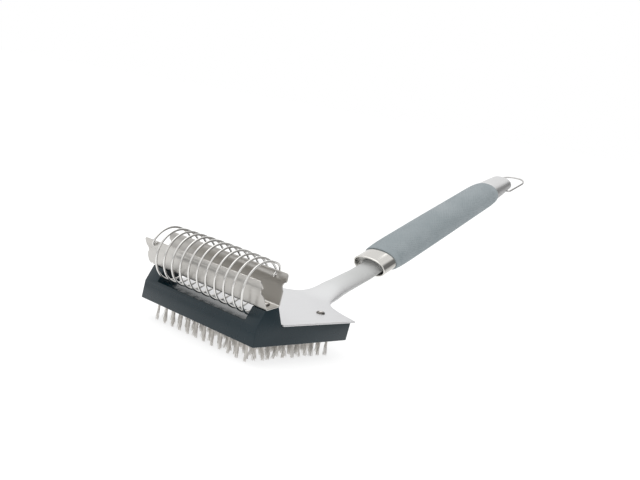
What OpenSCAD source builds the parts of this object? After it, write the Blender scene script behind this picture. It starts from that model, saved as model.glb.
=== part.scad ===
// Grill cleaning brush: a bristle head with a scraper channel inside a wire coil,
// on a long handle with a rubber grip and a wire loop to hang it by.
// X runs across the head, Y from the head's front edge towards the handle, Z up.
// The origin is on the plane of the bristle tips, under the middle of the head.

/* [Head block] */
// Width of the head block
head_w = 160; // [156:1:170]
// Depth of the head block, front to rear
head_d = 116; // [114:1:118]
// Thickness of the slab that holds the bristles
slab_h = 17; // [15:0.5:18]
// Width of each post under the scraper's ends
post_w = 17; // [15:0.5:17.5]

/* [Bristles] */
// Length of bristle under the block
bristle_h = 18; // [12:1:26]
// Number of full bristle rows, front to rear, with a staggered row behind each but the last
bristle_rows = 12; // [8:1:12]
// Number of tufts in a full row
bristle_cols = 12; // [8:1:12]
// Radius of a tuft where it leaves the block
tuft_root_r = 1.2; // [0.9:0.1:1.8]
// Radius of a tuft at its tips
tuft_tip_r = 1.5; // [1:0.1:2.4]

/* [Scraper] */
// Width of the channel's floor
floor_w = 15.4; // [15:0.1:16]
// Height of each wall along its slope
wall_h = 29.6; // [28.5:0.1:29.8]
// Forward tilt of the channel
tilt = 11.5; // [11:0.5:12]
// Outward lean of each wall from square
flare = 16; // [15:0.5:16.5]
// Thickness of the sheet
sheet_t = 1.2; // [1:0.1:1.5]

/* [Coil] */
// Radius of the coil at the middle of its wire
coil_r = 24.6; // [24.2:0.1:24.8]
// Diameter of the coil's wire
coil_wire = 2; // [1.6:0.1:2]
// Distance between turns
coil_pitch = 12.08; // [12:0.02:12.12]

/* [Handle] */
// Angle at which the handle rises behind the head
handle_rise = 25.7; // [22:0.1:30]
// Distance from the bend to the end of the cap
handle_len = 313; // [305:1:340]
// Thickness of the tail's plate
plate_t = 1.5; // [1.2:0.1:2]

/* [Hanging loop] */
// Diameter of the loop's wire
loop_wire = 2; // [1.6:0.1:2]
// Distance from the pivot to the far end of the loop
loop_len = 39; // [30:1:60]

/* [Hidden] */
$fn = 48;
row_nodes = [for (i = [1 : bristle_rows]) str("bristle_row_", i)];

black = [0.10, 0.11, 0.12];
steel = [0.78, 0.78, 0.77];
satin = [0.86, 0.86, 0.87];
bright = [0.90, 0.90, 0.91];
rubber = [0.57, 0.63, 0.66];

// Ridge across the front of the block, in the head's side view
ridge_front = [7.3, slab_h + 14.6];
ridge_rear = ridge_front + floor_w * [cos(tilt), sin(tilt)];
ridge_foot_y = 29.8;

// The slab widens a little downwards at its front and ends. Between the posts the block
// is cut flat, and its rear face leans outwards.
draft = 0.8;
recess_w = head_w - 2 * post_w;
recess_z = slab_h + 2.4;
rear_top_y = head_d + 2;
rear_bottom_y = head_d - 1.4;

// Middle of the coil at the head's ends, and how far it moves towards the head's middle
coil_end_mid = [11.6, 47.7];
coil_bow = [-0.6, 1.3];
coil_half = 70;
coil_shift = -61.4;
coil_lean = 2;

// Screws
scraper_screw_x = (head_w - post_w) / 2;
scraper_screw_r = 1.8;
plate_screw_at = [53.7, 103.8];
plate_screw_r = 2;
screw_play = 0.1;

// Scraper outline. The front wall has a rounded ear at its left foot, and a shallower notch above it.
scraper_half = 83;
scraper_foot_half = 80.7;
notch_at = [83.3, 17.6];
notch_r = 4.4;
ear_notch_at = [84.8, 18.2];
ear_notch_r = 4.2;
ear = [[80.7, 1.6], [82.8, 1.1], [84.6, 1.4], [85.8, 2.6], [86.3, 4.6], [86.1, 7], [85.4, 9.8],
    [84.3, 12.6], [83, 15], [82, 17.5]];
ear_half = 87;
hook_hole_h = 26.6;
hook_hole_r = 1.7;
front_hook_x = 65;
rear_hook_x = 67.6;

// Tail: bend radius, then stations along its spine from the bend, each with
// half width, half thickness and squareness of the section
bend_r = 60;
bend_y = 157.2;
plate_side = 83.2;
plate_front_side = 81.3;
plate_front_y = 30.4;
plate_rear_y = 120;
plate_mid_z = slab_h + plate_t / 2;
tail_stations = [
    [plate_rear_y - bend_y, plate_side, plate_t / 2, 10],
    [-32, 65, plate_t / 2, 10], [-26, 48.5, plate_t / 2, 8], [-20, 36.5, 0.9, 6],
    [-14, 28.5, 1.5, 4.5], [-8, 23.5, 2.5, 3.5], [0, 19.8, 4, 2.8], [8, 17.8, 5.3, 2.5],
    [18, 16.3, 6.3, 2.3], [30, 15.4, 6.4, 2.2], [45, 15, 6, 2.2], [60, 14.7, 5.8, 2.2],
    [75, 14.5, 5.7, 2.2], [95, 14.5, 5.7, 2.2]];
tube_stations = [for (s = tail_stations) if (s[0] >= 0) [s[0], s[1] - 1.3, s[2] - 1.3, s[3]]];
neck_drop = 3.1;

// Handle stations: distance from the bend, half width, half height, squareness
ferrule_end = 104;
ferrule_out = [
    [73.2, 21.3, 10.2, 2.2], [73.8, 22, 10.9, 2.2], [75.4, 22, 10.9, 2.2],
    [76.2, 21.6, 10.5, 2.2], [ferrule_end, 21.6, 10.5, 2.2]];
ferrule_wall = 1;
plug_front = 80;
core_end = 274;
core_out = [[ferrule_end, 18.5, 9.5, 2.2], [core_end, 18.5, 9.5, 2.2]];
grip_start = 93.4;
grip_end = 282;
grip_out = [
    [grip_start, 22.6, 11.5, 2.2], [94.2, 23.1, 11.9, 2.2], [97, 23.3, 12.3, 2.2],
    [102, 23.2, 13.2, 2.2], [112, 22.9, 14, 2.2], [130, 22.5, 14.2, 2.2],
    [180, 21.8, 13.8, 2.2], [240, 20.5, 13.1, 2.2], [266, 20, 12.8, 2.2],
    [274.5, 19.2, 12.3, 2.2], [279.3, 18.1, 11.8, 2.2], [grip_end, 16.9, 11.3, 2.2]];
cap_out = [
    [core_end, 16.2, 10.8, 2.2], [grip_end, 16.2, 10.8, 2.2], [handle_len - 21, 15.9, 10.3, 2.2],
    [handle_len - 13, 15.3, 9.4, 2.2], [handle_len - 7, 14.8, 8.7, 2.2],
    [handle_len - 2, 14.4, 8.2, 2.2], [handle_len, 13.8, 7.7, 2.2]];
cap_wall = 1;

// Hanging loop
pivot_s = handle_len - 10;
pivot_n = -4.5;
loop_half = 17;
loop_pin_in = 9.5;
loop_small_r = 2.2;
loop_big_r = 14;
loop_angle = -2.6;
pin_play = 0.06;

// ---- frames ----

// The head's own frame: y from the front edge, z from the block's underside
module at_head() { translate([0, -head_d / 2, bristle_h]) children(); }

// The scraper's frame: y along its floor, z square to it
module at_scraper() {
    at_head() translate([0, ridge_front[0], ridge_front[1]]) rotate([tilt, 0, 0]) children();
}

// The handle's frame: y along the handle from the bend
module at_handle() {
    at_head() translate([0, bend_y, plate_mid_z]) rotate([handle_rise, 0, 0]) children();
}

module at_pivot() { at_handle() translate([0, pivot_s, pivot_n]) children(); }

module both_sides() {
    children();
    mirror([1, 0, 0]) children();
}

// ---- swept shapes ----

ring_n = 40;

// One ring point of a section with half width a, half height b and squareness e
function ring_xz(t, a, b, e) = [
    a * sign(cos(t)) * pow(abs(cos(t)), 2 / e),
    b * sign(sin(t)) * pow(abs(sin(t)), 2 / e)];

// Skin over rings of n points each, with both ends closed
module skin(rings) {
    n = len(rings[0]);
    last = (len(rings) - 1) * n;
    points = [for (r = rings) each r];
    sides = [for (i = [0 : len(rings) - 2], k = [0 : n - 1])
        let (a = i * n + k, b = i * n + (k + 1) % n)
        each [[a, b, b + n], [a, b + n, a + n]]];
    polyhedron(points = points, faces = concat(
        [[for (k = [n - 1 : -1 : 0]) k]], sides, [[for (k = [0 : n - 1]) last + k]]));
}

// Straight oval body along y through a list of stations
module oval(stations) {
    skin([for (s = stations) [for (k = [0 : ring_n - 1])
        let (p = ring_xz(360 * k / ring_n, s[1], s[2], s[3])) [p[0], s[0], p[1]]]]);
}

function shrink(stations, by) = [for (s = stations) [s[0], s[1] - by, s[2] - by, s[3]]];

// The same list with its ends moved outwards, for cutting cleanly through a body
function longer(stations, by) = [for (i = [0 : len(stations) - 1])
    let (s = stations[i], d = i == 0 ? -by : i == len(stations) - 1 ? by : 0)
    [s[0] + d, s[1], s[2], s[3]]];

// Spine of the tail at distance t from the bend: [y, z, slope]
bend_t = bend_r * tan(handle_rise / 2);
function spine(t) =
    t <= -bend_t ? [bend_y + t, plate_mid_z, 0]
    : t < bend_t ? let (a = handle_rise * (t + bend_t) / (2 * bend_t))
        [bend_y - bend_t + bend_r * sin(a), plate_mid_z + bend_r * (1 - cos(a)), a]
    : [bend_y + t * cos(handle_rise) + neck_sink(t) * sin(handle_rise),
       plate_mid_z + t * sin(handle_rise) - neck_sink(t) * cos(handle_rise), handle_rise];

// The neck runs a little low in the ferrule's mouth
function neck_sink(t) = neck_drop * min(1, max(0, (t - 20) / 40));

function tail_ring(s) = let (p = spine(s[0])) [for (k = [0 : ring_n - 1])
    let (q = ring_xz(360 * k / ring_n, s[1], s[2], s[3]))
    [q[0], p[0] - q[1] * sin(p[2]), p[1] + q[1] * cos(p[2])]];

// ---- coil path ----

function head_point(x, q) = [x, q[0], q[1]];
front_lean = tilt + flare;
rear_lean = tilt - flare;
front_hole = ridge_front + hook_hole_h * [-sin(front_lean), cos(front_lean)];
rear_hole = ridge_rear + hook_hole_h * [-sin(rear_lean), cos(rear_lean)];
front_out = [-cos(front_lean), -sin(front_lean)];
rear_out = [cos(rear_lean), sin(rear_lean)];
coil_turns = 11;
coil_start = -60;
coil_stop = coil_turns * 360 + 6;
coil_step = 18;

// The last turn is pressed inwards where it passes the post
squeeze = 4.2;
squeeze_at = (coil_turns - 0.5) * 360;
function pressed(a) = abs(a - squeeze_at) < 90 ? squeeze * pow(cos(a - squeeze_at), 2) : 0;

function coil_at(a) = let (
    x = coil_shift + coil_pitch * a / 360,
    mid = coil_end_mid + coil_bow * (1 - pow(x / coil_half, 2)))
    [x - coil_lean * sin(a) - pressed(a), mid[0] + coil_r * sin(a), mid[1] + coil_r * cos(a)];

coil_path = concat(
    [for (d = [-3, 0, 2]) head_point(-front_hook_x, front_hole + d * front_out)],
    [head_point(-64, front_hole + [-4.2, 1.4])],
    [for (a = [coil_start : coil_step : coil_stop]) coil_at(a)],
    [head_point(70.6, rear_hole + [-2.5, 8.8]), head_point(69, rear_hole + [1.7, 4.8]),
        head_point(68, rear_hole + [3, 1.9])],
    [for (d = [2, 0, -3]) head_point(rear_hook_x, rear_hole + d * rear_out)]);

function unit(v) = v / norm(v);

function wire_ring(path, i, r, n) = let (
    here = path[i],
    ahead = path[min(i + 1, len(path) - 1)],
    behind = path[max(i - 1, 0)],
    run = unit(ahead - behind),
    side = unit(cross(run, [1, 0, 0])),
    up = cross(run, side))
    [for (k = [0 : n - 1]) here + r * (cos(360 * k / n) * up + sin(360 * k / n) * side)];

// ---- sub-parts ----

module head_block() {
    color(black) at_head() difference() {
        intersection() {
            translate([-head_w, 0, 0]) rotate([90, 0, 90]) linear_extrude(2 * head_w) polygon([
                [-draft, 0], [0, slab_h], ridge_front, ridge_rear,
                [ridge_foot_y, slab_h], [rear_top_y, slab_h], [rear_bottom_y, 0]]);
            translate([0, head_d + 20, 0]) rotate([90, 0, 0]) linear_extrude(head_d + 40) polygon([
                [-head_w / 2 - draft, 0], [-head_w / 2, slab_h], [-head_w / 2, 60],
                [head_w / 2, 60], [head_w / 2, slab_h], [head_w / 2 + draft, 0]]);
        }
        translate([-recess_w / 2, -1, recess_z]) cube([recess_w, ridge_foot_y + 2, 40]);
        both_sides() translate([scraper_screw_x, ridge_front[0], ridge_front[1]])
            rotate([tilt, 0, 0]) translate([0, floor_w / 2, -12])
            cylinder(r = scraper_screw_r + screw_play, h = 20);
        both_sides() translate([plate_screw_at[0], plate_screw_at[1], slab_h - 11])
            cylinder(r = plate_screw_r + screw_play, h = 20);
    }
}

row_pitch = (head_d - 18) / (bristle_rows - 1);
tuft_pitch = (head_w - 32) / (bristle_cols - 1);

// A full row, and the staggered row of one tuft less behind it
module bristle_row(i) {
    for (m = i < bristle_rows - 1 ? [0, 1] : [0]) let (count = bristle_cols - m)
        color(steel) at_head() for (k = [0 : count - 1])
            translate([(k - (count - 1) / 2) * tuft_pitch, 9 + (i + m / 2) * row_pitch, -bristle_h])
                cylinder(r1 = tuft_tip_r, r2 = tuft_root_r, h = bristle_h, $fn = 16);
}

// Side view of the bent channel, with its floor along y
inner_h = sheet_t * (1 - sin(flare)) / cos(flare);
inner_y = sheet_t * cos(flare) - inner_h * sin(flare);
wall_y = wall_h * sin(flare);
wall_z = wall_h * cos(flare);
edge_y = wall_y - sheet_t * cos(flare);
edge_z = wall_z + sheet_t * sin(flare);

module channel_profile() {
    polygon([[0, 0], [-wall_y, wall_z], [-edge_y, edge_z], [inner_y, sheet_t],
        [floor_w - inner_y, sheet_t], [floor_w + edge_y, edge_z],
        [floor_w + wall_y, wall_z], [floor_w, 0]]);
}

// What is cut from a wall's right end, drawn with the wall's slope along y
module end_cut() {
    translate(notch_at) circle(r = notch_r);
    translate([scraper_foot_half, -10]) square([10, notch_at[1] + 10]);
    translate([scraper_half, notch_at[1]]) square([10, 20]);
    polygon([[scraper_half + 0.4, 23.5], [scraper_half - 1.8, 40], [scraper_half + 5, 40]]);
}

// The same at the end with the ear
module ear_cut() {
    translate(ear_notch_at) circle(r = ear_notch_r);
    polygon(concat([[ear[0][0], -10]], ear, [[ear_half + 5, 17.5], [ear_half + 5, -10]]));
    translate([scraper_half - 0.7, ear_notch_at[1]]) square([10, 20]);
    polygon([[scraper_half, 23.5], [scraper_half - 2.2, 40], [scraper_half + 5, 40]]);
}

module scraper() {
    color(steel) at_scraper() difference() {
        translate([-ear_half, 0, 0]) rotate([90, 0, 90]) linear_extrude(2 * ear_half)
            channel_profile();
        rotate([90 + flare, 0, 0]) translate([0, 0, -5]) linear_extrude(10) {
            end_cut();
            mirror([1, 0]) ear_cut();
            translate([-front_hook_x, hook_hole_h]) circle(r = hook_hole_r);
        }
        translate([0, floor_w, 0]) rotate([90 - flare, 0, 0]) translate([0, 0, -5])
            linear_extrude(10) {
                end_cut();
                mirror([1, 0]) end_cut();
                translate([rear_hook_x, hook_hole_h]) circle(r = hook_hole_r);
            }
        both_sides() translate([scraper_foot_half, 1.2, -1]) cube([10, floor_w, sheet_t + 3]);
        both_sides() translate([scraper_screw_x, floor_w / 2, -1])
            cylinder(r = scraper_screw_r + screw_play, h = sheet_t + 2);
    }
}

// Pan head with a cross recess, on a plain shank
module pan_screw(head_r, head_h, shank_r, shank_l) {
    difference() {
        union() {
            rotate_extrude() polygon([[0, 0], [head_r, 0], [head_r, head_h * 0.45],
                [head_r * 0.82, head_h * 0.8], [head_r * 0.5, head_h], [0, head_h]]);
            translate([0, 0, -shank_l]) cylinder(r = shank_r, h = shank_l + 0.1);
        }
        for (a = [0, 90]) rotate([0, 0, a + 20])
            translate([-head_r * 0.55, -0.45, head_h * 0.45]) cube([head_r * 1.1, 0.9, head_h]);
    }
}

module scraper_screws() {
    color(bright) at_scraper() both_sides() translate([scraper_screw_x, floor_w / 2, sheet_t])
        pan_screw(3.4, 2, scraper_screw_r, 11);
}

module coil() {
    n = 10;
    color(bright) at_head()
        skin([for (i = [0 : len(coil_path) - 1]) wire_ring(coil_path, i, coil_wire / 2, n)]);
}

module tail_plate() {
    color(satin) at_head() difference() {
        union() {
            translate([0, 0, slab_h]) linear_extrude(plate_t) polygon([
                [-plate_front_side, plate_front_y], [plate_front_side, plate_front_y],
                [plate_side, plate_rear_y], [-plate_side, plate_rear_y]]);
            skin([for (s = tail_stations) tail_ring(s)]);
        }
        skin([for (s = longer(tube_stations, 1)) tail_ring(s)]);
        both_sides() translate([plate_screw_at[0], plate_screw_at[1], slab_h - 1])
            cylinder(r = plate_screw_r + screw_play, h = plate_t + 2);
    }
}

// Domed head with a shallow round dimple, on a plain shank
module plate_screws() {
    color(bright) at_head() both_sides()
        translate([plate_screw_at[0], plate_screw_at[1], slab_h + plate_t]) {
            rotate_extrude() polygon([[0, 0], [4.2, 0], [4, 0.8], [3.2, 1.6], [2, 2],
                [1.5, 1.4], [0, 1.4]]);
            translate([0, 0, -10]) cylinder(r = plate_screw_r, h = 10.1);
        }
}

module ferrule() {
    color(bright) at_handle() difference() {
        oval(ferrule_out);
        oval([for (s = [70, ferrule_end + 1]) [s, 21.6 - ferrule_wall, 10.5 - ferrule_wall, 2.2]]);
    }
}

module mouth_plug() {
    color(black) difference() {
        at_handle() oval([for (s = [plug_front, ferrule_end])
            [s, 21.6 - ferrule_wall, 10.5 - ferrule_wall, 2.2]]);
        at_head() skin([for (s = [[70, 14.5, 5.7, 2.2], [95, 14.5, 5.7, 2.2]]) tail_ring(s)]);
    }
}

module handle_core() { color(black) at_handle() oval(core_out); }

module grip_sleeve() {
    color(rubber) at_handle() difference() {
        oval(grip_out);
        oval([for (s = [90, ferrule_end]) [s, 21.6, 10.5, 2.2]]);
        oval([for (s = [ferrule_end - 1, core_end]) [s, 18.5, 9.5, 2.2]]);
        oval([for (s = [core_end, grip_end + 1]) [s, 16.2, 10.8, 2.2]]);
    }
}

module pivot_bore() {
    at_pivot() both_sides() translate([loop_pin_in - 0.4, 0, 0]) rotate([0, 90, 0])
        cylinder(r = loop_wire / 2 + pin_play, h = 20);
}

module end_cap() {
    color(steel) difference() {
        at_handle() difference() {
            oval(cap_out);
            oval(longer(shrink(cap_out, cap_wall), 1));
        }
        pivot_bore();
    }
}

module cap_plug() {
    color(black) difference() {
        at_handle() oval(shrink(cap_out, cap_wall));
        pivot_bore();
    }
}

module arc_wire(radius) {
    rotate_extrude(angle = 90) translate([radius, 0]) circle(r = loop_wire / 2, $fn = 24);
}

module hang_loop() {
    straight = loop_half - loop_big_r;
    leg_end = loop_len - loop_big_r;
    color(bright) at_pivot() rotate([loop_angle, 0, 0]) {
        both_sides() {
            translate([loop_pin_in, 0, 0]) rotate([0, 90, 0])
                cylinder(r = loop_wire / 2, h = loop_half - loop_small_r - loop_pin_in, $fn = 24);
            translate([loop_half - loop_small_r, loop_small_r, 0]) rotate([0, 0, -90])
                arc_wire(loop_small_r);
            translate([loop_half, loop_small_r, 0]) rotate([-90, 0, 0])
                cylinder(r = loop_wire / 2, h = leg_end - loop_small_r, $fn = 24);
            translate([straight, leg_end, 0]) arc_wire(loop_big_r);
        }
        translate([-straight, loop_len, 0]) rotate([0, 90, 0])
            cylinder(r = loop_wire / 2, h = 2 * straight, $fn = 24);
    }
}

head_block();
scraper();
scraper_screws();
coil();
tail_plate();
plate_screws();
ferrule();
mouth_plug();
handle_core();
grip_sleeve();
end_cap();
cap_plug();
hang_loop();
for (i = [1 : bristle_rows])
    bristle_row(i - 1);
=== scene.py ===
"""Looks of the grill cleaning brush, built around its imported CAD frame.

Lengths are in millimetres where a piece is drawn, and become metres when its mesh is made.
Pieces are drawn in the head's, the scraper's or the handle's own frame, as in the CAD.
"""

import math
import random

import bmesh
import bpy
from mathutils import Matrix, Vector


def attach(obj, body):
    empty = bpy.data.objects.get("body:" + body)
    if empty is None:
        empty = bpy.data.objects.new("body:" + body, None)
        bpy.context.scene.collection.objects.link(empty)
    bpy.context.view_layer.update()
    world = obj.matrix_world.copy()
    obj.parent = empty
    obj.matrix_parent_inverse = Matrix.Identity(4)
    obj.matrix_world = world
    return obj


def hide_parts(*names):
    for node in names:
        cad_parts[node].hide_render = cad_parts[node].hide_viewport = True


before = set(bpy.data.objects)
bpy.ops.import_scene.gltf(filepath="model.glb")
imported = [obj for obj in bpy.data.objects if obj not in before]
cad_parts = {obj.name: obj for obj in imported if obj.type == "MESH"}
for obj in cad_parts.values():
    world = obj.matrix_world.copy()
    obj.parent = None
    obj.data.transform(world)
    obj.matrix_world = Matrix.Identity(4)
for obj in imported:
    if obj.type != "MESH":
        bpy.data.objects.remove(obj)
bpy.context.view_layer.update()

MM = 0.001
SCENE = bpy.context.scene


# ---------------------------------------------------------------- camera

def aim_camera():
    """The photograph's view: right, up and back are the camera's axes in the shared frame."""
    right = Vector((0.7013, 0.6911, 0.1750)).normalized()
    back = Vector((0.6766, -0.7226, 0.1419))
    back = (back - back.dot(right) * right).normalized()
    up = back.cross(right)
    data = bpy.data.cameras.new("camera")
    data.lens = 53.44
    data.sensor_width = 36
    data.clip_start = 0.01
    data.clip_end = 200
    camera = bpy.data.objects.new("camera", data)
    SCENE.collection.objects.link(camera)
    turn = Matrix((right, up, back)).transposed()
    camera.matrix_world = Matrix.Translation((0.6346, -0.5929, 0.2278)) @ turn.to_4x4()
    SCENE.camera = camera


# ---------------------------------------------------------------- frames of the CAD

HEAD_D = 116
BRISTLE_H = 18
SLAB_H = 17
# The ridge that the scraper lies on, in the head's side view
RIDGE = [(7.3, 31.6), (22.39, 34.67)]
TILT = math.radians(11.5)
RISE = math.radians(25.7)
PLATE_T = 1.5
PLATE_MID = SLAB_H + PLATE_T / 2
BEND_Y = 157.2


def moved(x, y, z):
    """A shift, given in millimetres."""
    return Matrix.Translation(Vector((x, y, z)) * MM)


HEAD = moved(0, -HEAD_D / 2, BRISTLE_H)
SCRAPER = HEAD @ moved(0, *RIDGE[0]) @ Matrix.Rotation(TILT, 4, "X")
HANDLE = HEAD @ moved(0, BEND_Y, PLATE_MID) @ Matrix.Rotation(RISE, 4, "X")
LOOP_AT = (303, -4.5)
PIVOT = HANDLE @ moved(0, *LOOP_AT)


# ---------------------------------------------------------------- materials

class Finish:
    """A node material around one Principled shader. Patterns are in metres of the piece's own space."""

    def __init__(self, name, colour, roughness, metallic=0.0, **constants):
        self.material = bpy.data.materials.new(name)
        self.material.use_nodes = True
        self.tree = self.material.node_tree
        self.shader = self.tree.nodes["Principled BSDF"]
        self.shader.inputs["Base Color"].default_value = (*colour, 1)
        self.shader.inputs["Roughness"].default_value = roughness
        self.shader.inputs["Metallic"].default_value = metallic
        for key, value in constants.items():
            self.shader.inputs[key.replace("_", " ")].default_value = value
        self.height = None

    def node(self, kind, **inputs):
        """A new node. Its inputs, by name or as _0, _1, take a number or another node's socket."""
        made = self.tree.nodes.new(kind)
        for key, value in inputs.items():
            socket = made.inputs[int(key[1:])] if key[0] == "_" else made.inputs[key.replace("_", " ")]
            if isinstance(value, bpy.types.NodeSocket):
                self.tree.links.new(value, socket)
            else:
                socket.default_value = value
        return made

    def space(self, scale=(1, 1, 1), turn=(0, 0, 0)):
        """The piece's own coordinates, scaled and turned."""
        where = self.node("ShaderNodeTexCoord").outputs["Object"]
        return self.node("ShaderNodeMapping", Vector=where, Scale=scale, Rotation=turn).outputs[0]

    def noise(self, scale, detail=3.0, rough=0.5, stretch=(1, 1, 1), distortion=0.0):
        made = self.node("ShaderNodeTexNoise", Vector=self.space(stretch), Scale=scale, Detail=detail,
                         Roughness=rough, Distortion=distortion)
        return made.outputs[0]

    def math(self, operation, a, b=0.0, clamp=False):
        made = self.node("ShaderNodeMath", _0=a, _1=b)
        made.operation = operation
        made.use_clamp = clamp
        return made.outputs[0]

    def spread(self, value, low, high, to_low, to_high):
        """The value, mapped from the range low to high onto the range to_low to to_high."""
        return self.node("ShaderNodeMapRange", Value=value, From_Min=low, From_Max=high,
                         To_Min=to_low, To_Max=to_high).outputs[0]

    def tint(self, value, low, high, from_low=0.3, from_high=0.7):
        """Base colour from low to high as the pattern value goes from from_low to from_high."""
        share = self.spread(value, from_low, from_high, 0, 1)
        made = self.tree.nodes.new("ShaderNodeMix")
        made.data_type = "RGBA"
        self.tree.links.new(share, made.inputs["Factor"])
        for socket, colour in ((made.inputs[6], low), (made.inputs[7], high)):
            if isinstance(colour, bpy.types.NodeSocket):
                self.tree.links.new(colour, socket)
            else:
                socket.default_value = (*colour, 1)
        self.tree.links.new(made.outputs[2], self.shader.inputs["Base Color"])
        return made.outputs[2]

    def rough(self, value, low, high):
        """Roughness from low to high as the pattern value goes from 0.3 to 0.7."""
        self.tree.links.new(self.spread(value, 0.3, 0.7, low, high), self.shader.inputs["Roughness"])

    def bump(self, value, distance_mm, strength=1.0):
        """A bump on top of those that are already there."""
        made = self.node("ShaderNodeBump", Height=value, Distance=distance_mm * MM, Strength=strength)
        if self.height is not None:
            self.tree.links.new(self.height, made.inputs["Normal"])
        self.height = made.outputs[0]
        self.tree.links.new(self.height, self.shader.inputs["Normal"])


def moulded_plastic():
    """Black plastic with a fine moulded grain and cloudy gloss."""
    f = Finish("moulded_black_plastic", (0.006, 0.016, 0.023), 0.2, Specular_IOR_Level=0.36)
    cloud = f.noise(22, 3)
    grain = f.noise(1900, 2)
    f.tint(cloud, (0.003, 0.013, 0.019), (0.007, 0.019, 0.026))
    f.rough(f.noise(60, 4), 0.23, 0.31)
    f.bump(grain, 0.012, 0.3)
    return f.material


def scraper_steel():
    """Sheet steel brushed along X: fine streaks, an uneven polish and slight waves."""
    colour, streak, roughness = Vector((0.52, 0.505, 0.48)), 0.05, 0.3
    f = Finish("scraper_sheet", colour, roughness, 1.0)
    along_x = (0.03, 1.0, 1.0)
    fine = f.noise(1500, 2, 0.6, along_x)
    broad = f.noise(260, 3, 0.55, along_x)
    cloud = f.noise(18, 3)
    mixed = f.math("ADD", f.math("MULTIPLY", fine, 0.5), f.math("MULTIPLY", broad, 0.3))
    mixed = f.math("ADD", mixed, f.math("MULTIPLY", cloud, 0.2))
    f.tint(mixed, colour * (1 - streak), colour * (1 + streak))
    f.rough(mixed, roughness - 0.04, roughness + 0.05)
    f.bump(fine, 0.006, 0.5)
    f.bump(broad, 0.012, 0.5)
    f.bump(f.noise(30, 1, 0.4), 0.12)
    return f.material


def tail_satin():
    """Satin sheet steel. Its finish gets duller and coarser from the flat plate to the formed neck."""
    f = Finish("plate_satin", (0.71, 0.71, 0.718), 0.5, 1.0)
    where = f.node("ShaderNodeSeparateXYZ", Vector=f.space())
    neck = f.node("ShaderNodeMapRange", Value=where.outputs["Y"], From_Min=0.13, From_Max=0.20).outputs[0]
    fine = f.noise(1500, 2, 0.6, (1, 0.03, 1))
    cloud = f.noise(18, 3)
    mixed = f.math("ADD", f.math("MULTIPLY", fine, 0.6), f.math("MULTIPLY", cloud, 0.4))
    plate = f.tint(mixed, (0.70, 0.70, 0.708), (0.72, 0.72, 0.728))
    f.tint(neck, plate, (0.68, 0.685, 0.68), 0, 1)
    f.tree.links.new(f.spread(neck, 0, 1, 0.52, 0.85), f.shader.inputs["Roughness"])
    f.bump(fine, 0.0024, 0.5)
    return f.material


def polished(name, colour, roughness):
    """Smooth steel with a faint haze."""
    f = Finish(name, colour, roughness, 1.0)
    haze = f.noise(45, 3)
    f.tint(haze, tuple(c * 0.97 for c in colour), colour)
    f.rough(f.noise(130, 4), roughness - 0.03, roughness + 0.04)
    return f.material


def bright_wire(name, colour, roughness):
    """Drawn wire and turned steel: a fine drawn grain."""
    f = Finish(name, colour, roughness, 1.0)
    drawn = f.noise(900, 2, 0.5)
    f.tint(f.noise(90, 3), tuple(c * 0.93 for c in colour), colour)
    f.rough(drawn, roughness - 0.03, roughness + 0.05)
    f.bump(drawn, 0.01, 0.3)
    return f.material


def grip_rubber():
    """Blue-grey rubber, unevenly dusted."""
    f = Finish("grip_rubber", (0.28, 0.31, 0.33), 0.6, Specular_IOR_Level=0.35)
    cloud = f.noise(24, 3, 0.55)
    dust = f.noise(420, 3, 0.6)
    mixed = f.math("ADD", f.math("MULTIPLY", cloud, 0.7), f.math("MULTIPLY", dust, 0.3))
    f.tint(mixed, (0.232, 0.272, 0.288), (0.330, 0.365, 0.382))
    f.rough(dust, 0.48, 0.64)
    f.bump(dust, 0.09, 0.7)
    f.bump(f.noise(2600, 2), 0.015, 0.5)
    return f.material


def floor_paper():
    """White paper that glows enough to stay white where nothing shades it."""
    f = Finish("floor_paper", (0.35, 0.35, 0.35), 0.9, Specular_IOR_Level=0.0)
    f.shader.inputs["Emission Color"].default_value = (1, 1, 1, 1)
    # Seen in reflections, the paper darkens away from the object, as past the edge of a table
    reach = f.node("ShaderNodeVectorMath", _0=f.space())
    reach.operation = "LENGTH"
    far = f.node("ShaderNodeMapRange", Value=reach.outputs["Value"], From_Min=0.25, From_Max=0.6).outputs[0]
    shiny = f.math("MULTIPLY", far, f.node("ShaderNodeLightPath").outputs["Is Glossy Ray"])
    f.tree.links.new(f.spread(shiny, 0, 1, 0.76, 0.25), f.shader.inputs["Emission Strength"])
    f.tint(f.noise(1.2, 2), (0.345, 0.345, 0.345), (0.355, 0.355, 0.355))
    return f.material


# ---------------------------------------------------------------- drawing

def piece(name, verts, faces, place, material, stands_for=(), body="brush", sharp=35):
    """A mesh piece drawn in mm in the frame place, riding on a body and standing for CAD nodes."""
    mesh = bpy.data.meshes.new(name)
    mesh.from_pydata([Vector(v) * MM for v in verts], [], faces)
    mesh.validate()
    obj = bpy.data.objects.new(name, mesh)
    SCENE.collection.objects.link(obj)
    obj.matrix_world = place
    mesh.materials.append(material)
    set_normals(obj)
    smooth(obj, sharp)
    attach(obj, body)
    if stands_for:
        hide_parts(*stands_for)
    return obj


def set_normals(obj):
    """Turns the faces of obj outwards."""
    work = bmesh.new()
    work.from_mesh(obj.data)
    bmesh.ops.recalc_face_normals(work, faces=work.faces)
    work.to_mesh(obj.data)
    work.free()


def smooth(obj, sharp):
    """Shades obj smooth, and keeps edges that turn by more than sharp degrees."""
    obj.data.shade_smooth()
    obj.data.set_sharp_from_angle(angle=math.radians(sharp))


def settle(obj, sharp=35):
    """Applies the modifiers of obj to its mesh."""
    bpy.context.view_layer.update()
    made = bpy.data.meshes.new_from_object(obj.evaluated_get(bpy.context.evaluated_depsgraph_get()))
    obj.modifiers.clear()
    old = obj.data
    obj.data = made
    made.name = obj.name
    bpy.data.meshes.remove(old)
    smooth(obj, sharp)


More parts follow.
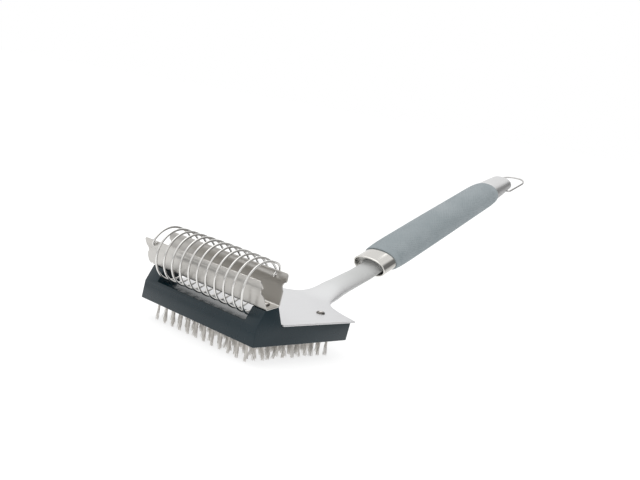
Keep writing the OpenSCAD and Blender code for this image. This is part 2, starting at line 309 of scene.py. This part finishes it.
def cutter(verts, faces, place):
    """A solid for carve() to cut out of a piece."""
    mesh = bpy.data.meshes.new("cutter")
    mesh.from_pydata([Vector(v) * MM for v in verts], [], faces)
    obj = bpy.data.objects.new("cutter", mesh)
    SCENE.collection.objects.link(obj)
    obj.matrix_world = place
    set_normals(obj)
    return obj


def carve(obj, cutters):
    """Cuts the cutters out of obj, and removes them."""
    for c in cutters:
        cut = obj.modifiers.new("cut", "BOOLEAN")
        cut.operation = "DIFFERENCE"
        cut.solver = "EXACT"
        cut.object = c
    settle(obj)
    for c in cutters:
        bpy.data.objects.remove(c)


def soften(obj, width_mm, segments=2, angle=30, sharp=35):
    """Rounds the edges of obj."""
    bevel = obj.modifiers.new("soften", "BEVEL")
    bevel.width = width_mm * MM
    bevel.segments = segments
    bevel.limit_method = "ANGLE"
    bevel.angle_limit = math.radians(angle)
    bevel.harden_normals = False
    bevel.use_clamp_overlap = True
    settle(obj, sharp)


def prism(outline, low, high, axis="x"):
    """Verts and faces of a flat outline, extruded along an axis from low to high."""
    n = len(outline)

    def at(p, d):
        return {"x": (d, p[0], p[1]), "y": (p[0], d, p[1]), "z": (p[0], p[1], d)}[axis]

    verts = [at(p, low) for p in outline] + [at(p, high) for p in outline]
    faces = [[i, (i + 1) % n, n + (i + 1) % n, n + i] for i in range(n)]
    return verts, faces + [list(range(n))[::-1], list(range(n, 2 * n))]


def circle(cx, cy, r, n):
    """n points around a circle."""
    turns = [2 * math.pi * k / n for k in range(n)]
    return [(cx + r * math.cos(t), cy + r * math.sin(t)) for t in turns]


def arc(cx, cy, r, start, end, step=9):
    """Points of an arc between two angles in degrees, about a step apart."""
    count = max(2, round(abs(end - start) / step))
    turns = [math.radians(start + (end - start) * k / count) for k in range(count + 1)]
    return [(cx + r * math.cos(t), cy + r * math.sin(t)) for t in turns]


def rounded(points, radii, steps=6):
    """The outline with its corners rounded by arcs of these radii."""
    out = []
    n = len(points)
    for i, r in enumerate(radii):
        p, a, b = (Vector(points[j % n]) for j in (i, i - 1, i + 1))
        if not r:
            out.append(tuple(p))
            continue
        u, v = (a - p).normalized(), (b - p).normalized()
        half = math.acos(max(-1, min(1, u.dot(v)))) / 2
        reach = r / math.tan(half)
        centre = p + (u + v).normalized() * (r / math.sin(half))
        start, end = p + u * reach - centre, p + v * reach - centre
        turn = start.angle_signed(end)
        for k in range(steps + 1):
            q = start.copy()
            q.rotate(Matrix.Rotation(-turn * k / steps, 2))
            out.append(tuple(centre + q))
    return out


def skin(rings, closed=False):
    """Verts and faces over rings of points. closed joins the last ring to the first."""
    n = len(rings[0])
    verts = [p for r in rings for p in r]
    faces = []
    for i in range(len(rings) if closed else len(rings) - 1):
        j = (i + 1) % len(rings)
        faces += [[i * n + k, i * n + (k + 1) % n, j * n + (k + 1) % n, j * n + k] for k in range(n)]
    if not closed:
        last = (len(rings) - 1) * n
        faces += [list(range(n))[::-1], list(range(last, last + n))]
    return verts, faces


def power(value, exponent):
    """The value to a power, with its sign kept."""
    return math.copysign(abs(value) ** exponent, value)


def oval(a, b, e, n):
    """Points of a section with half sizes a and b and squareness e."""
    turns = [2 * math.pi * k / n for k in range(n)]
    return [(a * power(math.cos(t), 2 / e), b * power(math.sin(t), 2 / e)) for t in turns]


def eased(stations, step):
    """Stations at even steps, on smooth curves through the given ones."""
    out = []
    for i in range(len(stations) - 1):
        p0, p1, p2, p3 = (stations[max(0, min(len(stations) - 1, j))] for j in (i - 1, i, i + 1, i + 2))
        span = p2[0] - p1[0]
        count = max(1, round(span / step))
        for k in range(count):
            u = k / count
            row = [p1[0] + span * u]
            for c in range(1, len(p1)):
                m1 = (p2[c] - p0[c]) / (p2[0] - p0[0]) * span
                m2 = (p3[c] - p1[c]) / (p3[0] - p1[0]) * span
                row.append((2 * u**3 - 3 * u**2 + 1) * p1[c] + (u**3 - 2 * u**2 + u) * m1
                           + (3 * u**2 - 2 * u**3) * p2[c] + (u**3 - u**2) * m2)
            out.append(row)
    return out + [list(stations[-1])]


def smooth_path(points, step):
    """Points at about even steps along a smooth curve through the given ones."""
    points = [Vector(p) for p in points]
    out = []
    for i in range(len(points) - 1):
        p0, p1, p2, p3 = (points[max(0, min(len(points) - 1, j))] for j in (i - 1, i, i + 1, i + 2))
        count = max(1, round((p2 - p1).length / step))
        for k in range(count):
            u = k / count
            out.append(0.5 * ((2 * p1) + (p2 - p0) * u + (2 * p0 - 5 * p1 + 4 * p2 - p3) * u * u
                              + (3 * p1 - p0 - 3 * p2 + p3) * u**3))
    return out + [points[-1]]


def wire(path, radius, sides, tip=0.0):
    """Rings of a round wire along a path. tip rounds its ends by that share of the radius."""
    rings = []
    turns = [2 * math.pi * k / sides for k in range(sides)]
    run = (path[1] - path[0]).normalized()
    side = run.orthogonal().normalized()
    for i, p in enumerate(path):
        ahead = (path[min(i + 1, len(path) - 1)] - path[max(i - 1, 0)]).normalized()
        side = (side - side.dot(ahead) * ahead).normalized()
        up = ahead.cross(side)
        ring = [p + radius * (math.cos(t) * side + math.sin(t) * up) for t in turns]
        if tip and i == 0:
            rings.append([p + (q - p) * (1 - tip) - ahead * radius * tip for q in ring])
        rings.append(ring)
        if tip and i == len(path) - 1:
            rings.append([p + (q - p) * (1 - tip) + ahead * radius * tip for q in ring])
    return rings


def lathe(profile, n):
    """Verts and faces of a profile of (radius, height) turned about Z. The first and last radii are 0."""
    rings = [[(x, y, z) for x, y in circle(0, 0, r, n)] for r, z in profile[1:-1]]
    verts, faces = skin(rings)
    faces = faces[:-2]
    bottom, top = len(verts), len(verts) + 1
    verts += [(0, 0, profile[0][1]), (0, 0, profile[-1][1])]
    last = (len(rings) - 1) * n
    faces += [[(k + 1) % n, k, bottom] for k in range(n)]
    faces += [[last + k, last + (k + 1) % n, top] for k in range(n)]
    return verts, faces


# ---------------------------------------------------------------- the head

HEAD_W = 160
POST_W = 17
POST_FOOT = 29.8
RECESS_Z = SLAB_H + 2.4
RECESS_REAR = POST_FOOT + 1
REAR_TOP = 118
REAR_BOTTOM = 114.6
DRAFT = 0.8


def head_block(plastic):
    """The moulded block: a slab with a ridge at its front, cut down between the two end posts."""
    profile = [(0, 0), (0, SLAB_H), *RIDGE, (POST_FOOT, SLAB_H), (REAR_TOP, SLAB_H), (REAR_BOTTOM, 0)]
    verts, faces = prism(profile, -HEAD_W / 2, HEAD_W / 2)
    verts = [(x + math.copysign(DRAFT, x) if z == 0 else x, y - DRAFT if z == 0 and y == 0 else y, z)
             for x, y, z in verts]
    block = piece("head_shell", verts, faces, HEAD, plastic, ["head_block"])
    half = HEAD_W / 2 - POST_W
    recess = [(-1, RECESS_Z), (RECESS_REAR, RECESS_Z), (RECESS_REAR, 40), (-1, 40)]
    carve(block, [cutter(*prism(recess, -half, half), HEAD)])
    soften(block, 0.8, 3)
    return block


# The scraper's walls, in the scraper's own frame: outline by distance across and up the wall
FLOOR_W = 15.4
SHEET_T = 1.2
WALL_H = 29.6
FLARE = math.radians(16)
BEND_IN = 1.6
FOOT_X = 80.7
END_X = 83
# The holes for the coil's ends, by height up a wall and distance across
HOOK_H = 26.6
HOOK_HOLE_R = 1.7
FRONT_HOOK_X = 65
REAR_HOOK_X = 67.6
SCREW_X = (HEAD_W - POST_W) / 2


def wall_outline(start_h, ear=False):
    """Half of a wall's outline, from its foot to the middle of its top edge."""
    if ear:
        ear_line = smooth_path([(82.4, 1.3, 0), (84.6, 1.5, 0), (85.9, 2.8, 0), (86.3, 4.8, 0),
                                (86.0, 7.4, 0), (85.2, 10.4, 0), (84.0, 13.2, 0)], 1.0)
        foot = [(FOOT_X, start_h)] + [tuple(p.to_2d()) for p in ear_line]
        end = 82.3
        bite = arc(84.8, 18.2, 4.2, 242, 126)
    else:
        foot = [(FOOT_X, start_h), (FOOT_X, 13.6)]
        end = END_X
        bite = arc(83.3, 17.6, 4.4, 232, 96)
    top = rounded([(end, 24.5), (end - 0.6, WALL_H), (0, WALL_H)], [0, 2.4, 0])
    return [*foot, *bite, *top[:-1]]


def scraper(sheet):
    """A bent sheet: two flared walls and a floor, drawn at mid thickness and thickened."""
    mid_r = BEND_IN + SHEET_T / 2
    turn = math.pi / 2 - FLARE
    start_h = (BEND_IN + SHEET_T) * math.tan(turn / 2)
    right = wall_outline(start_h)
    verts, faces = [], []

    def add_row(points):
        first = len(verts)
        verts.extend(points)
        return list(range(first, len(verts)))

    def wall_point(x, h, front):
        """Mid-sheet point at height h along a wall."""
        y, z = -h * math.sin(FLARE), h * math.cos(FLARE)
        y, z = y + SHEET_T / 2 * math.cos(FLARE), z + SHEET_T / 2 * math.sin(FLARE)
        return (x, y, z) if front else (x, FLOOR_W - y, z)

    bend = arc(start_h, BEND_IN + SHEET_T, mid_r, 180 + math.degrees(FLARE), 270)
    rows = [add_row([(-FOOT_X, y, z), (FOOT_X, y, z)]) for y, z in bend]
    rows += [add_row([(-FOOT_X, FLOOR_W - y, z), (FOOT_X, FLOOR_W - y, z)]) for y, z in reversed(bend)]
    for a, b in zip(rows, rows[1:]):
        faces.append([a[0], a[1], b[1], b[0]])
    for front, foot in ((True, rows[0]), (False, rows[-1])):
        outline = right + [(-x, h) for x, h in reversed(wall_outline(start_h, front))]
        ids = add_row([wall_point(x, h, front) for x, h in outline[1:-1]])
        faces.append([foot[1], *ids, foot[0]])
    channel = piece("scraper_channel", verts, faces, SCRAPER, sheet, ["scraper"])
    thick = channel.modifiers.new("sheet", "SOLIDIFY")
    thick.thickness = SHEET_T * MM
    thick.offset = 0
    thick.use_even_offset = True
    settle(channel)
    lean = Matrix.Rotation(FLARE, 4, "X")
    front = SCRAPER @ Matrix.Rotation(math.pi / 2, 4, "X") @ lean
    rear = SCRAPER @ moved(0, FLOOR_W, 0) @ Matrix.Rotation(math.pi / 2, 4, "X") @ lean.inverted()
    holes = [cutter(*prism(circle(x, HOOK_H, HOOK_HOLE_R, 32), -5, 5, "z"), place)
             for x, place in ((-FRONT_HOOK_X, front), (REAR_HOOK_X, rear))]
    carve(channel, holes)
    soften(channel, 0.28, 2, 40)
    return channel


def turned(name, profile, places, frame_of, metal, stands_for):
    """Copies of one turned profile at several places."""
    verts, faces = [], []
    base_v, base_f = lathe(profile, 48)
    for x, y, z in places:
        first = len(verts)
        verts += [(v[0] + x, v[1] + y, v[2] + z) for v in base_v]
        faces += [[first + i for i in f] for f in base_f]
    return piece(name, verts, faces, frame_of, metal, [stands_for], sharp=50)


def scraper_screws(dark, bright):
    """A crossed top with a painted highlight, inside a rounded rim with painted shade: the same steel in a
    bright and a dark copy.
    """
    places = [(side * SCREW_X, FLOOR_W / 2, SHEET_T) for side in (-1, 1)]
    rim = [(0, -1.0), (3.5, -1.0), (3.6, 0.0), (3.6, 0.7), (3.45, 1.15), (2.9, 1.55), (2.65, 1.5),
           (2.6, 1.2), (0, 1.2)]
    top = [(0, 1.0), (2.5, 1.0), (2.55, 1.65), (2.2, 1.95), (1.6, 2.08), (0.8, 2.16), (0, 2.18)]
    slot = [(-1.2, 1.8), (-0.7, 1.6), (0.7, 1.6), (1.2, 1.8), (1.5, 3), (-1.5, 3)]
    turned("scraper_screw_shaded_rims", rim, places, SCRAPER, dark, "scraper_screws")
    made = turned("scraper_screw_highlit_tops", top, places, SCRAPER, bright, "scraper_screws")
    slots = []
    for side in (-1, 1):
        for turn in (0.35, 0.35 + math.pi / 2):
            place = SCRAPER @ moved(side * SCREW_X, FLOOR_W / 2, SHEET_T) @ Matrix.Rotation(turn, 4, "Z")
            slots.append(cutter(*prism(slot, -0.3, 0.3, "y"), place))
    carve(made, slots)
    soften(made, 0.08, 2, 45, 50)


PLATE_SCREW = (53.7, 103.8)


def plate_screws(dark, bright):
    """A crown with painted shade around a dimple with a painted highlight: the same steel in a dark and a
    bright copy.
    """
    places = [(side * PLATE_SCREW[0], PLATE_SCREW[1], SLAB_H + PLATE_T) for side in (-1, 1)]
    crown = [(0, -0.6), (4.1, -0.6), (4.2, 0.15), (4.12, 0.6), (3.85, 1.1), (3.35, 1.55), (2.75, 1.85),
             (2.5, 1.9), (2.25, 1.8), (2.15, 1.5), (0, 1.5)]
    dimple = [(0, 1.0), (2.0, 1.0), (2.05, 1.8), (1.6, 2.0), (0.9, 2.1), (0, 2.12)]
    turned("plate_screw_shaded_crowns", crown, places, HEAD, dark, "plate_screws")
    turned("plate_screw_highlit_centres", dimple, places, HEAD, bright, "plate_screws")


WIRE_R = 1.0
COIL_R = 24.6
COIL_PITCH = 12.08
COIL_START_X = -61.4
COIL_HALF = 70
COIL_END_MID = (11.6, 47.7)
COIL_BOW = (-0.6, 1.3)
COIL_LEAN = 2
COIL_TURNS = 11
PRESSED = 4.2


def coil_wire(metal):
    """The wire goes through the front wall, winds round the scraper and ends inside its rear wall."""
    pressed_at = (COIL_TURNS - 0.5) * 360

    def at(degrees):
        """Point of the winding. The crest of its last turn is pressed towards the others."""
        a = math.radians(degrees)
        x = COIL_START_X + COIL_PITCH * degrees / 360
        bow = 1 - (x / COIL_HALF) ** 2
        off = degrees - pressed_at
        shift = PRESSED * math.cos(math.radians(off)) ** 2 if abs(off) < 90 else 0
        return (x - COIL_LEAN * math.sin(a) - shift,
                COIL_END_MID[0] + COIL_BOW[0] * bow + COIL_R * math.sin(a),
                COIL_END_MID[1] + COIL_BOW[1] * bow + COIL_R * math.cos(a))

    def hole(foot, lean):
        """Middle of the hole in a wall that leans forward by this angle."""
        return foot[0] - HOOK_H * math.sin(lean), foot[1] + HOOK_H * math.cos(lean)

    def through(x, middle, lean, distance, down):
        """Point at a distance through a hole, and lower by down."""
        return (x, middle[0] + distance * math.cos(lean), middle[1] + distance * math.sin(lean) - down)

    front_lean, rear_lean = TILT + FLARE, TILT - FLARE
    front, rear = hole(RIDGE[0], front_lean), hole(RIDGE[1], rear_lean)
    hook = ((-2.9, 3.4), (-2.6, 1.6), (-1.6, 0.3), (0.4, 0), (1.8, 0))
    ends_in = [through(-FRONT_HOOK_X, front, front_lean, -d, down) for d, down in hook]
    ends_in.append((-64, front[0] - 4.2, front[1] + 1.4))
    ends_out = [(70.6, rear[0] - 2.5, rear[1] + 8.8), (69, rear[0] + 1.7, rear[1] + 4.8),
                (68, rear[0] + 3, rear[1] + 1.9)]
    ends_out += [through(REAR_HOOK_X, rear, rear_lean, d, down) for d, down in reversed(hook)]
    turns = [at(a) for a in range(-60, COIL_TURNS * 360 + 8, 6)]
    path = smooth_path(ends_in + turns + ends_out, 1.3)
    verts, faces = skin(wire(path, WIRE_R, 16, 0.35))
    return piece("scrub_coil", verts, faces, HEAD, metal, ["coil"], sharp=60)


TUFT_COLS = 12
TUFT_ROWS = 12
SIDE_MARGIN = 16
END_MARGIN = 9
TUFT_PITCH = (HEAD_W - 2 * SIDE_MARGIN) / (TUFT_COLS - 1)
ROW_PITCH = (HEAD_D - 2 * END_MARGIN) / (TUFT_ROWS - 1)
STRANDS = 14
STRAND_R = 0.15
TUFT_R = 1.1
GOLDEN_ANGLE = 2.39996


def bristle_rows(metal):
    """Each tuft is a bundle of crimped wires that spreads a little towards its tips.

    A piece holds one row and the staggered row behind it. The front row's tufts stand straighter.
    """
    for row in range(TUFT_ROWS):
        draw = random.Random(100 + row)
        verts, faces = [], []
        y = END_MARGIN + row * ROW_PITCH
        spots = [((k - (TUFT_COLS - 1) / 2) * TUFT_PITCH, y) for k in range(TUFT_COLS)]
        if row < TUFT_ROWS - 1:
            spots += [(x + TUFT_PITCH / 2, y + ROW_PITCH / 2) for x, y in spots[:-1]]
        for x0, y0 in spots:
            in_front = y0 == END_MARGIN
            stray = 0.5 if in_front else 2.2
            lean_x, lean_y = draw.uniform(-stray, stray), draw.uniform(-stray, stray)
            for strand in range(STRANDS):
                angle = strand * GOLDEN_ANGLE
                r = TUFT_R * math.sqrt((strand + 0.5) / STRANDS)
                out_x, out_y = math.cos(angle), math.sin(angle)
                length = BRISTLE_H - draw.random() ** 2 * 1.6
                spread = r * draw.uniform(0.1, 0.6 if in_front else 1.4)
                phase, waves = draw.uniform(0, 6.28), draw.uniform(0.8, 1.1)
                crimp_turn = draw.uniform(0, 6.28)
                path = []
                for k in range(8):
                    u = k / 7
                    z = 0.6 - (length + 0.6) * u
                    crimp = 0.18 * math.sin(phase + waves * 1.9 * z)
                    out = r + spread * u * u
                    x = x0 + out_x * out + lean_x * u * u + crimp * math.cos(crimp_turn)
                    y = y0 + out_y * out + lean_y * u * u + crimp * math.sin(crimp_turn)
                    path.append(Vector((x, y, z)))
                v, f = skin(wire(path, STRAND_R, 4))
                first = len(verts)
                verts += v
                faces += [[first + i for i in g] for g in f]
        piece(f"bristle_tufts_{row + 1}", verts, faces, HEAD, metal,
              [f"bristle_row_{row + 1}"], sharp=80)


# ---------------------------------------------------------------- the tail

BEND_R = 60
BEND_T = BEND_R * math.tan(RISE / 2)
PLATE_FRONT = 30.4
PLATE_SIDE = 83.2
PLATE_FRONT_SIDE = 81.3
NECK_DROP = 3.1
TAIL = [
    # distance from the bend, half width, half thickness, squareness
    [-37.2, PLATE_SIDE, 0.75, 10], [-32, 65, 0.75, 10], [-26, 48.5, 0.75, 8], [-20, 36.5, 0.9, 6],
    [-14, 28.5, 1.5, 4.5], [-8, 23.5, 2.5, 3.5], [0, 19.8, 4, 2.8], [8, 17.8, 5.3, 2.4],
    [18, 16.3, 6.3, 2.15], [30, 15.4, 6.4, 2], [45, 15, 6, 1.95],
    [60, 14.7, 5.8, 1.9], [75, 14.5, 5.7, 1.9], [88, 14.5, 5.7, 1.9]]


def spine(t):
    """Point and slope of the tail's middle at distance t from the bend."""
    if t <= -BEND_T:
        return BEND_Y + t, PLATE_MID, 0.0
    if t < BEND_T:
        a = RISE * (t + BEND_T) / (2 * BEND_T)
        return BEND_Y - BEND_T + BEND_R * math.sin(a), PLATE_MID + BEND_R * (1 - math.cos(a)), a
    sink = NECK_DROP * min(1, max(0, (t - 20) / 40))
    return (BEND_Y + t * math.cos(RISE) + sink * math.sin(RISE),
            PLATE_MID + t * math.sin(RISE) - sink * math.cos(RISE), RISE)


def sheet_section(a, b, n):
    """Points of a flat sheet's section with full-round edges, spaced as oval() spaces them."""
    edge = math.acos(1 / 1.03)
    out = []
    for k in range(n):
        t = 2 * math.pi * k / n
        c, s = math.cos(t), math.sin(t)
        off = math.atan2(s, abs(c))
        if abs(off) < edge:
            f = off / edge * math.pi / 2
            out.append((math.copysign(a - b + b * power(math.cos(f), 0.6), c), b * power(math.sin(f), 0.6)))
        else:
            out.append(((a - b) * 1.03 * c, math.copysign(b, s)))
    return out


def tail(satin):
    """The flat plate, whose front edge is thinned, running into the oval neck."""
    n = 112
    stations = [[PLATE_FRONT - BEND_Y + d, PLATE_FRONT_SIDE - inset, PLATE_T / 2 * thin, 10]
                for d, inset, thin in ((0, 0.3, 0.55), (0.12, 0.15, 0.85), (0.35, 0.05, 1), (0.8, 0, 1))]
    rear = TAIL[0][0]
    for t in (-100, -70, -45, rear - 0.5):
        share = (t - PLATE_FRONT + BEND_Y) / (rear - PLATE_FRONT + BEND_Y)
        stations.append([t, PLATE_FRONT_SIDE + (PLATE_SIDE - PLATE_FRONT_SIDE) * share, PLATE_T / 2, 10])
    stations += eased(TAIL, 1.6)
    rings = []
    for t, a, b, e in stations:
        y, z, slope = spine(t)
        flat, full = sheet_section(a, b, n), oval(a, b, e, n)
        share = min(1, max(0, (t + 24) / 24))
        share = share * share * (3 - 2 * share)
        rings.append([(p[0] + (q[0] - p[0]) * share,
                       y - (p[1] + (q[1] - p[1]) * share) * math.sin(slope),
                       z + (p[1] + (q[1] - p[1]) * share) * math.cos(slope)) for p, q in zip(flat, full)])
    verts, faces = skin(rings)
    return piece("plate_and_neck", verts, faces, HEAD, satin, ["tail_plate"], sharp=40)


# ---------------------------------------------------------------- the handle

# Stations of distance along the handle, half width and half height
GRIP = [
    [93.4, 22.6, 11.5], [94.2, 23.1, 11.9], [97, 23.3, 12.3], [102, 23.2, 13.2], [112, 22.9, 14],
    [130, 22.5, 14.2], [180, 21.8, 13.8], [240, 20.5, 13.1], [266, 20, 12.8], [274.5, 19.2, 12.3],
    [279.3, 18.1, 11.8], [282, 16.9, 11.3]]
CAP = [
    [274, 16.2, 10.8], [285, 16.2, 10.8], [292, 15.9, 10.3], [300, 15.3, 9.4], [306, 14.8, 8.7],
    [311, 14.4, 8.2]]
FERRULE_HALF = (21.6, 10.5)
OVAL_E = 2.2


def ring_at(s, a, b, n=128):
    """Section of the handle at distance s, with half sizes a and b."""
    return [(x, s, z) for x, z in oval(a, b, OVAL_E, n)]


def ferrule(metal):
    """A thin oval tube whose mouth is rolled into a round rim."""
    lip = [(75.0 - 1.35 * math.cos(math.radians(a)), -0.55 + 0.95 * math.sin(math.radians(a)))
           for a in range(-80, 110, 15)]
    profile = [(88, -1.2), *lip, (76.4, 0.1), (77.2, 0), (88, 0), (103, 0), (103, -1.2)]
    half_w, half_h = FERRULE_HALF
    verts, faces = skin([ring_at(s, half_w + d, half_h + d) for s, d in profile], closed=True)
    return piece("ferrule_tube", verts, faces, HANDLE, metal, ["ferrule"], sharp=50)


def mouth(metal):
    """The dished web that closes the ferrule's mouth around the neck."""
    n = 128
    rings = []
    dish = ((96, 0), (81.4, 0), (80.2, 0.06), (79.8, 0.25), (80.2, 0.5), (81.2, 0.8), (82.2, 1), (96, 1))
    for depth, share in dish:
        outer = oval(20.7, 9.6, OVAL_E, n)
        inner = oval(13.9, 5.1, 1.9, n)
        rings.append([(p[0] + (q[0] - p[0]) * share, depth,
                       p[1] + (q[1] - NECK_DROP - p[1]) * share) for p, q in zip(outer, inner)])
    verts, faces = skin(rings, closed=True)
    return piece("ferrule_web", verts, faces, HANDLE, metal, ["mouth_plug"], sharp=50)


def grip(rubber):
    """The sleeve's surface carries shallow crossed grooves, which leave fine diamonds."""
    n = 256
    rings = []
    diamonds_around, diamond_length, groove_depth = 36, 4.2, 0.45
    first, last = 97.5, 276.5
    for s, a, b in eased(GRIP, 0.75):
        ring = []
        fade = min(1, max(0, (s - first) / 2)) * min(1, max(0, (last - s) / 3))
        for k, (x, z) in enumerate(oval(a, b, OVAL_E, n)):
            u, v = k / n * diamonds_around, (s - 97) / diamond_length
            groove = max(math.exp(-((abs((u + w * v) % 1 - 0.5) / 0.15) ** 2)) for w in (1, -1))
            sink = groove_depth * fade * groove
            out = Vector((x / a**2, z / b**2)).normalized()
            ring.append((x - sink * out.x, s, z - sink * out.y))
        rings.append(ring)
    inner = ((281.5, 16.3, 10.9), (280.2, 16.25, 10.85), (96, 21.65, 10.55), (93.4, 21.65, 10.55))
    rings += [ring_at(s, a, b, n) for s, a, b in inner]
    verts, faces = skin(rings, closed=True)
    return piece("grip_sleeve_skin", verts, faces, HANDLE, rubber,
                 ["grip_sleeve", "handle_core"], sharp=60)


def cap(metal, plastic):
    """The tapered steel cap with its rolled-in end and the loop's two bores, and the plug in its end."""
    rings = [ring_at(s, a, b) for s, a, b in eased(CAP, 1.5)]
    rim = ((312.0, 0.25), (312.6, 0.55), (312.95, 0.95), (313.0, 1.3),
           (312.8, 1.6), (312.2, 1.8), (309, 1.8))
    rings += [ring_at(s, 14.4 - d, 8.2 - d) for s, d in rim]
    rings += [ring_at(290, 14.4, 8.6), ring_at(274, 14.9, 9.5)]
    verts, faces = skin(rings, closed=True)
    shell = piece("cap_shell", verts, faces, HANDLE, metal, ["end_cap"], sharp=40)
    bore = circle(LOOP_AT[0], LOOP_AT[1], 1.15, 32)
    carve(shell, [cutter(*prism(bore, low, high), HANDLE) for low, high in ((9, 20), (-20, -9))])
    soften(shell, 0.12, 1, 50)
    disc = ((295, 12.7, 6.5), (311.3, 12.6, 6.4), (311.75, 12.3, 6.1), (312.0, 9, 4), (312.05, 3, 1.2))
    verts, faces = skin([ring_at(*station) for station in disc])
    plug = piece("cap_end_plug", verts, faces, HANDLE, plastic, ["cap_plug"], sharp=50)
    return shell, plug


LOOP_ANGLE = math.radians(-2.6)
LOOP_HALF = 17
LOOP_LEN = 39
LOOP_LEG_R = 2.2
LOOP_END_R = 14
LOOP_INNER_X = 9.5


def hanging_loop(metal):
    """A bent wire whose two ends turn into the cap's bores."""
    corners = [(LOOP_INNER_X, 0), (LOOP_HALF, 0), (LOOP_HALF, LOOP_LEN), (-LOOP_HALF, LOOP_LEN),
               (-LOOP_HALF, 0), (-LOOP_INNER_X, 0)]
    flat = rounded(corners, [0, LOOP_LEG_R, LOOP_END_R, LOOP_END_R, LOOP_LEG_R, 0], 12)
    path = smooth_path([(x, y, 0) for x, y in flat], 1.2)
    place = PIVOT @ Matrix.Rotation(LOOP_ANGLE, 4, "X")
    verts, faces = skin(wire(path, WIRE_R, 16, 0.3))
    return piece("hanging_loop", verts, faces, place, metal, ["hang_loop"], "loop", 60)


# ---------------------------------------------------------------- stage

def stage():
    """A round floor, wide enough to meet the horizon."""
    n = 96
    verts = [(0, 0, 0)] + [(r * math.cos(2 * math.pi * k / n), r * math.sin(2 * math.pi * k / n), 0)
                           for r in (2, 8, 40) for k in range(n)]
    faces = [[0, 1 + k, 1 + (k + 1) % n] for k in range(n)]
    for band in (0, 1):
        a = 1 + band * n
        faces += [[a + k, a + n + k, a + n + (k + 1) % n, a + (k + 1) % n] for k in range(n)]
    mesh = bpy.data.meshes.new("floor")
    mesh.from_pydata(verts, [], faces)
    floor = bpy.data.objects.new("floor", mesh)
    SCENE.collection.objects.link(floor)
    mesh.materials.append(floor_paper())


def lamp(name, size, watts, at, towards):
    """A rectangular lamp at one point that shines towards another."""
    data = bpy.data.lights.new(name, "AREA")
    data.shape = "RECTANGLE"
    data.size, data.size_y = size
    data.energy = watts
    obj = bpy.data.objects.new(name, data)
    SCENE.collection.objects.link(obj)
    obj.location = at
    obj.rotation_mode = "QUATERNION"
    obj.rotation_quaternion = (Vector(towards) - Vector(at)).to_track_quat("-Z", "Y")


def studio():
    """A white room and one soft lamp. Glossy rays see a dark patch to the rear right."""
    world = bpy.data.worlds.new("studio")
    SCENE.world = world
    world.use_nodes = True
    nodes, links = world.node_tree.nodes, world.node_tree.links
    nodes.clear()
    out = nodes.new("ShaderNodeOutputWorld")
    mix = nodes.new("ShaderNodeMixShader")
    seen = nodes.new("ShaderNodeBackground")
    seen.inputs[0].default_value = (1, 1, 1, 1)
    seen.inputs[1].default_value = 1.0
    soft = nodes.new("ShaderNodeBackground")
    soft.inputs[0].default_value = (1, 1, 1, 1)
    soft.inputs[1].default_value = 0.95
    shine = nodes.new("ShaderNodeBackground")
    shine.inputs[1].default_value = 1.0
    where = nodes.new("ShaderNodeTexCoord")
    aimed = nodes.new("ShaderNodeVectorMath")
    aimed.operation = "DOT_PRODUCT"
    aimed.inputs[1].default_value = Vector((0.76, 0.52, 0.36)).normalized()
    patch = nodes.new("ShaderNodeMapRange")
    patch.interpolation_type = "SMOOTHSTEP"
    for socket, value in zip(patch.inputs[1:5], (0.66, 0.92, 1.0, 0.2)):
        socket.default_value = value
    path = nodes.new("ShaderNodeLightPath")
    metal = nodes.new("ShaderNodeMixShader")
    links.new(where.outputs["Generated"], aimed.inputs[0])
    links.new(aimed.outputs["Value"], patch.inputs[0])
    links.new(patch.outputs[0], shine.inputs[0])
    links.new(path.outputs["Is Glossy Ray"], metal.inputs[0])
    links.new(soft.outputs[0], metal.inputs[1])
    links.new(shine.outputs[0], metal.inputs[2])
    links.new(path.outputs["Is Camera Ray"], mix.inputs[0])
    links.new(metal.outputs[0], mix.inputs[1])
    links.new(seen.outputs[0], mix.inputs[2])
    links.new(mix.outputs[0], out.inputs[0])
    lamp("key", (1.6, 1.2), 5, (-0.5, -0.3, 1.3), (0, 0.05, 0.05))
    SCENE.view_settings.view_transform = "Standard"
    SCENE.view_settings.look = "None"


def main():
    aim_camera()
    plastic = moulded_plastic()
    sheet = scraper_steel()
    satin = tail_satin()
    mirror = polished("ferrule_polish", (0.66, 0.645, 0.615), 0.15)
    web_metal = polished("mouth_steel", (0.60, 0.60, 0.59), 0.4)
    cap_metal = polished("cap_satin", (0.70, 0.70, 0.70), 0.4)
    wire_metal = bright_wire("coil_bright", (0.74, 0.73, 0.71), 0.14)
    # The screw heads' steel is split into dark copies for painted shade on the rims and crowns, and a
    # bright copy for a painted highlight on their tops.
    screw_rim_shade_metal = bright_wire("screw_rim_painted_shade", (0.15, 0.135, 0.125), 0.16)
    loop_metal = bright_wire("loop_steel", (0.58, 0.57, 0.56), 0.25)
    crown_shade_metal = bright_wire("screw_crown_painted_shade", (0.16, 0.15, 0.14), 0.2)
    screw_highlight_metal = bright_wire("screw_top_painted_highlight", (0.80, 0.77, 0.74), 0.22)
    bristle = bright_wire("bristle_steel", (0.74, 0.72, 0.69), 0.34)
    rubber = grip_rubber()
    head_block(plastic)
    scraper(sheet)
    scraper_screws(screw_rim_shade_metal, screw_highlight_metal)
    plate_screws(crown_shade_metal, screw_highlight_metal)
    coil_wire(wire_metal)
    bristle_rows(bristle)
    tail(satin)
    ferrule(mirror)
    mouth(web_metal)
    grip(rubber)
    cap(cap_metal, plastic)
    hanging_loop(loop_metal)
    stage()
    studio()


main()
